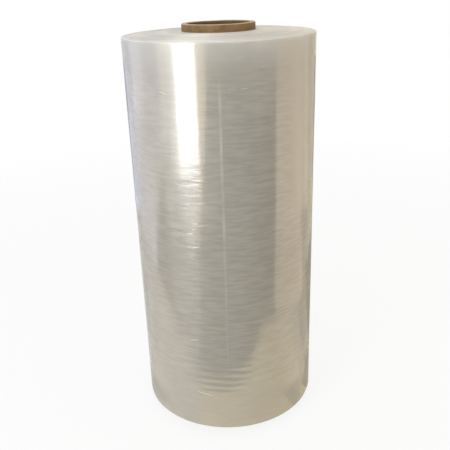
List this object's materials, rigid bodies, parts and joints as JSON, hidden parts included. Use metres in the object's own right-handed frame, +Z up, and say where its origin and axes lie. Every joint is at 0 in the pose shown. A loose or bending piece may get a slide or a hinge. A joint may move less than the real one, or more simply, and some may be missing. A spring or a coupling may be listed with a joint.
{
  "type": "stretch wrap roll",
  "caption": "Clear plastic film wound in a wide, glossy roll on a paperboard tube that stands a little proud at both ends; it slides over a spindle to wrap a pallet load.",
  "frame": {"origin": "on the roll's axis, at the lower end of the core, on which the roll stands", "axes": "+Z up along the roll's axis; the free end of the web faces -Y, the front"},
  "size_m": [0.237, 0.237, 0.5238],
  "materials": {
    "paperboard": "matt brown kraft board with a faint wound grain",
    "stretch_film": "glossy, milky clear film with fine lines along the turns"
  },
  "bodies": {
    "root": {"paperboard_core": "paperboard", "film_roll": "stretch_film"}
  },
  "joints": []
}
